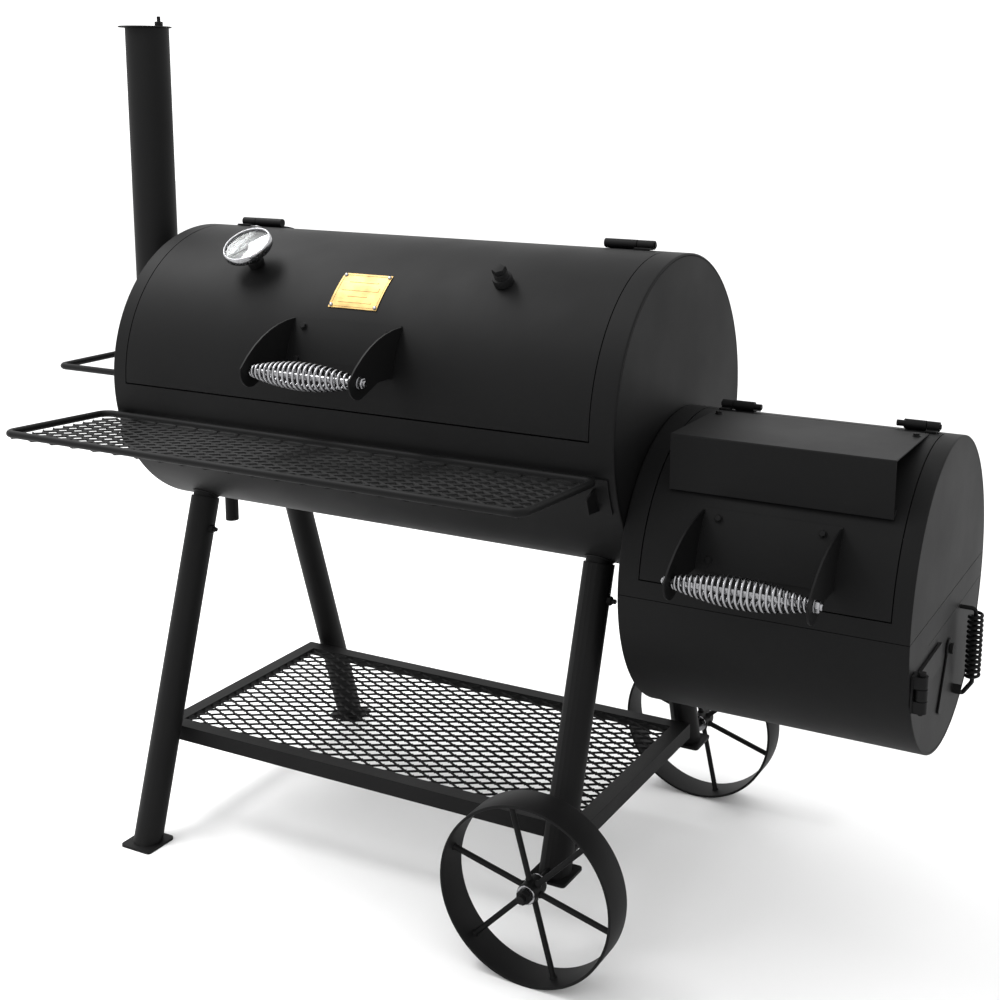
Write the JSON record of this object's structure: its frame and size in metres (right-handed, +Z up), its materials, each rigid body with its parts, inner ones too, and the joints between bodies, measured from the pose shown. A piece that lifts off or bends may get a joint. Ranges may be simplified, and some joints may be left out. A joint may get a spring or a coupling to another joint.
{
  "type": "offset smoker",
  "caption": "Barrel smoker with a lower side firebox, hinged lids, coil-grip handles, capped smokestack, front and lower mesh shelves, splayed legs and spoked wheels.",
  "frame": {"origin": "on the floor, under the centre of the object's bounding box", "axes": "+X along the barrel towards the firebox, +Y to the back, +Z up; the shelf and handles face -Y"},
  "size_m": [1.6333, 0.865, 1.457],
  "materials": {
    "black_paint": "satin black heat-resistant paint",
    "chrome": "polished plating",
    "brass": "brushed sheet",
    "dial": "printed dial face",
    "needle": "painted pointer",
    "glass": "clear flat window",
    "cast_iron": "seasoned cast iron"
  },
  "bodies": {
    "stand": {"main_chamber_shell": "black_paint", "main_end_cap_left": "black_paint", "main_end_cap_right": "black_paint", "grease_drain": "black_paint", "smokestack": "black_paint", "stack_cap_bolt": "black_paint", "side_handle": "black_paint", "main_hinge_left_base": "black_paint", "main_hinge_right_base": "black_paint", "firebox_upper_half": "black_paint", "firebox_lower_half": "black_paint", "firebox_hinge_left_base": "black_paint", "firebox_hinge_right_base": "black_paint", "door_hinge_base": "black_paint", "door_hinge_pin": "black_paint", "leg_front_left": "black_paint", "leg_rear_left": "black_paint", "leg_front_right": "black_paint", "leg_rear_right": "black_paint", "lower_shelf_frame": "black_paint", "lower_shelf_mesh": "black_paint", "front_shelf_frame": "black_paint", "front_shelf_mesh": "black_paint", "shelf_bracket_left": "black_paint", "shelf_bracket_right": "black_paint", "axle": "black_paint", "axle_nut_front": "chrome", "axle_nut_rear": "chrome"},
    "main_lid_body": {"main_lid": "black_paint", "main_handle_bracket": "black_paint", "main_handle_rod": "chrome", "port_plug": "black_paint", "name_plate": "brass", "thermometer_case": "chrome", "thermometer_dial": "dial", "thermometer_glass": "glass", "main_hinge_left_leaf": "black_paint", "main_hinge_right_leaf": "black_paint"},
    "main_grip": {"main_handle_grip": "chrome"},
    "needle": {"thermometer_needle": "needle"},
    "firebox_lid_body": {"firebox_lid": "black_paint", "warming_plate": "black_paint", "firebox_handle_bracket": "black_paint", "firebox_handle_rod": "chrome", "firebox_hinge_left_leaf": "black_paint", "firebox_hinge_right_leaf": "black_paint"},
    "firebox_grip": {"firebox_handle_grip": "chrome"},
    "door": {"firebox_door": "black_paint", "door_hinge_strap": "black_paint", "door_handle_rod": "black_paint", "door_handle_grip": "black_paint", "air_damper_bolt": "black_paint"},
    "damper": {"air_damper": "black_paint"},
    "cap": {"stack_cap": "black_paint"},
    "front_wheel": {"wheel_front": "black_paint"},
    "rear_wheel": {"wheel_rear": "black_paint"},
    "grate_left": {"cooking_grate_left": "cast_iron"},
    "grate_middle": {"cooking_grate_middle": "cast_iron"},
    "grate_right": {"cooking_grate_right": "cast_iron"},
    "fire_grate": {"charcoal_grate": "cast_iron"}
  },
  "joints": [
    {"name": "main_lid_hinge", "type": "hinge", "parent": "stand", "child": "main_lid_body", "pos_m": [-0.1467, 0.0855, 1.08564], "axis": [-1, 0, 0], "range_deg": [0, 120]},
    {"name": "firebox_lid_hinge", "type": "hinge", "parent": "stand", "child": "firebox_lid_body", "pos_m": [0.5663, 0.08367, 0.83975], "axis": [-1, 0, 0], "range_deg": [0, 120]},
    {"name": "firebox_door_hinge", "type": "hinge", "parent": "stand", "child": "door", "pos_m": [0.7936, -0.1589, 0.5183], "axis": [0, 0, -1], "range_deg": [0, 120]},
    {"name": "air_damper_pivot", "type": "hinge", "parent": "door", "child": "damper", "pos_m": [0.7806, 0.061, 0.5062], "axis": [-1, 0, 0], "range_deg": [0, 40]},
    {"name": "stack_cap_pivot", "type": "hinge", "parent": "stand", "child": "cap", "pos_m": [-0.7177, 0.0535, 1.4365], "axis": [0, 0, 1], "range_deg": [0, 150]},
    {"name": "front_wheel_spin", "type": "hinge", "parent": "stand", "child": "front_wheel", "pos_m": [0.2563, -0.2885, 0.1453], "axis": [0, 1, 0], "continuous": true},
    {"name": "rear_wheel_spin", "type": "hinge", "parent": "stand", "child": "rear_wheel", "pos_m": [0.2563, 0.3955, 0.1453], "axis": [0, 1, 0], "continuous": true},
    {"name": "needle_turn", "type": "hinge", "parent": "main_lid_body", "child": "needle", "pos_m": [-0.3875, -0.11411, 1.06349], "axis": [0, 0.575, -0.8181], "range_deg": [0, 260]},
    {"name": "main_grip_spin", "type": "hinge", "parent": "main_lid_body", "child": "main_grip", "pos_m": [-0.1511, -0.28126, 0.8925], "axis": [1, 0, 0], "continuous": true},
    {"name": "firebox_grip_spin", "type": "hinge", "parent": "firebox_lid_body", "child": "firebox_grip", "pos_m": [0.5657, -0.26656, 0.65854], "axis": [1, 0, 0], "continuous": true},
    {"name": "grate_left_lift", "type": "slide", "parent": "stand", "child": "grate_left", "axis": [0, 0, 1], "range_m": [0, 0.06]},
    {"name": "grate_middle_lift", "type": "slide", "parent": "stand", "child": "grate_middle", "axis": [0, 0, 1], "range_m": [0, 0.06]},
    {"name": "grate_right_lift", "type": "slide", "parent": "stand", "child": "grate_right", "axis": [0, 0, 1], "range_m": [0, 0.06]},
    {"name": "charcoal_grate_lift", "type": "slide", "parent": "stand", "child": "fire_grate", "axis": [0, 0, 1], "range_m": [0, 0.06]}
  ]
}
